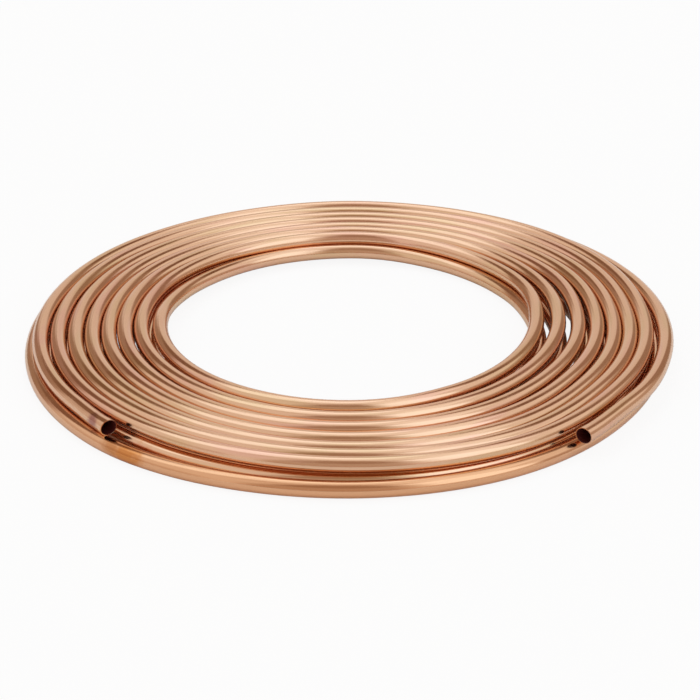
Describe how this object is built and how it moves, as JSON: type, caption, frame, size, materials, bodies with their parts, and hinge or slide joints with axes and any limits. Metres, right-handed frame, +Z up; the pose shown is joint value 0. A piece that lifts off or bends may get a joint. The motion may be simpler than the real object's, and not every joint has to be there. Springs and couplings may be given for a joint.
{
  "type": "copper tube coil",
  "caption": "Flat coil of bare soft copper tube wound layer on layer, both ends open, stock for refrigeration, gas or water lines.",
  "frame": {"origin": "middle of the coil on the level it lies on", "axes": "+Z up along the coil's axis, +X to the right and +Y to the back with both tube ends at the front"},
  "size_m": [0.3934, 0.3934, 0.0188],
  "materials": {
    "copper": "bright drawn copper, satin"
  },
  "bodies": {
    "root": {"tube_coil": "copper"}
  },
  "joints": []
}
